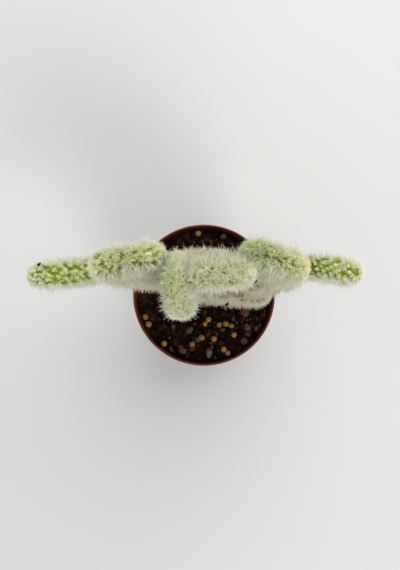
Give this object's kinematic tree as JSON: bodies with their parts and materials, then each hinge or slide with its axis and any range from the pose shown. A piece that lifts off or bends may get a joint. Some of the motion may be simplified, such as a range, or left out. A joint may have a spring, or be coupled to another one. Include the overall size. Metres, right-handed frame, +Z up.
{
  "type": "potted white bunny ears cactus",
  "caption": "Small cactus of flat tufted pads that branch in a fan, rooted in dark soil in a round tapered plastic nursery pot.",
  "frame": {"origin": "middle of the underside of the pot, on the surface that it stands on", "axes": "+Z up out of the pot, +X to the right along the fan of pads, -Y towards the side that the front pad leans out to"},
  "size_m": [0.1731, 0.085, 0.184],
  "materials": {
    "pot_plastic": "satin",
    "potting_soil": "matte",
    "cactus_pad": "matte"
  },
  "bodies": {
    "root": {"pot": "pot_plastic", "soil": "potting_soil", "pad_base": "cactus_pad", "pad_left_low": "cactus_pad", "pad_right_low": "cactus_pad", "pad_middle": "cactus_pad", "pad_left_far": "cactus_pad", "pad_left_top": "cactus_pad", "pad_front": "cactus_pad", "pad_centre_top": "cactus_pad", "pad_right_top": "cactus_pad", "pad_right_far": "cactus_pad"}
  },
  "joints": []
}
